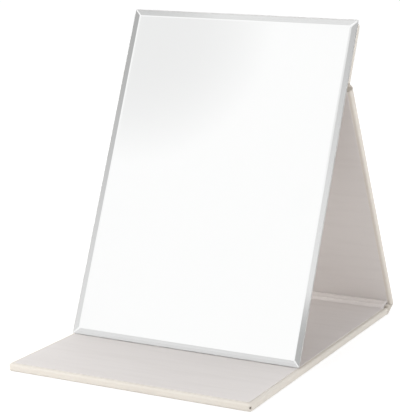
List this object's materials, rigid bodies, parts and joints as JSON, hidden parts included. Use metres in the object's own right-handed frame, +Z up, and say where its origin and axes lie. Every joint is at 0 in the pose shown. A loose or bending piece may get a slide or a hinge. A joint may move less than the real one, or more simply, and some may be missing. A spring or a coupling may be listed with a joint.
{
  "type": "folding makeup mirror",
  "caption": "Tabletop makeup mirror: bevelled rectangular glass in a white book-style leatherette cover that opens into a triangular stand and folds flat.",
  "frame": {"origin": "bottom centre of the bounding box of the open mirror, on the table under the middle of its footprint", "axes": "+Z up, the glass faces -Y and leans back towards +Y, +X to the right of someone facing the glass"},
  "size_m": [0.183, 0.2892, 0.2399],
  "materials": {
    "leatherette": "fine grain, off-white",
    "lining": "smooth, pale grey",
    "greyboard": "raw",
    "infill_card": "raw",
    "tape": "double-sided tape",
    "glass": "polished, bevelled edge",
    "silvering": "silvered",
    "backing_wrap": "smooth, pale grey"
  },
  "bodies": {
    "base": {"base_board": "greyboard", "base_skin": "leatherette", "base_infill": "infill_card", "base_lining": "lining", "fold_lining": "lining"},
    "spine": {"spine_skin": "leatherette", "spine_board": "greyboard"},
    "back": {"back_board": "greyboard", "back_skin": "leatherette", "back_infill": "infill_card", "back_lining": "lining"},
    "mirror": {"strip_board": "greyboard", "strip_skin": "leatherette", "strip_infill": "infill_card", "strip_bond_tape": "tape", "mirror_glass": "glass", "mirror_silvering": "silvering", "mirror_tapes": "tape", "mirror_back_card": "infill_card", "mirror_back_wrap": "backing_wrap"}
  },
  "joints": [
    {"name": "tilt_fold", "type": "hinge", "parent": "base", "child": "spine", "pos_m": [0, 0.13143, 0.0008], "axis": [-1, 0, 0], "range_deg": [-8, 24], "deforming": ["fold_lining"]},
    {"name": "stand_fold", "type": "hinge", "parent": "spine", "child": "back", "pos_m": [0, 0.14377, 0.00629], "axis": [-1, 0, 0], "range_deg": [0, 98.6]},
    {"name": "top_fold", "type": "hinge", "parent": "back", "child": "mirror", "pos_m": [0, 0.02457, 0.1934], "axis": [-1, 0, 0], "range_deg": [-54.61, 18.21]}
  ],
  "couplings": [
    {"joint": "top_fold", "follows": "tilt_fold", "ratio": -2.2751}
  ]
}
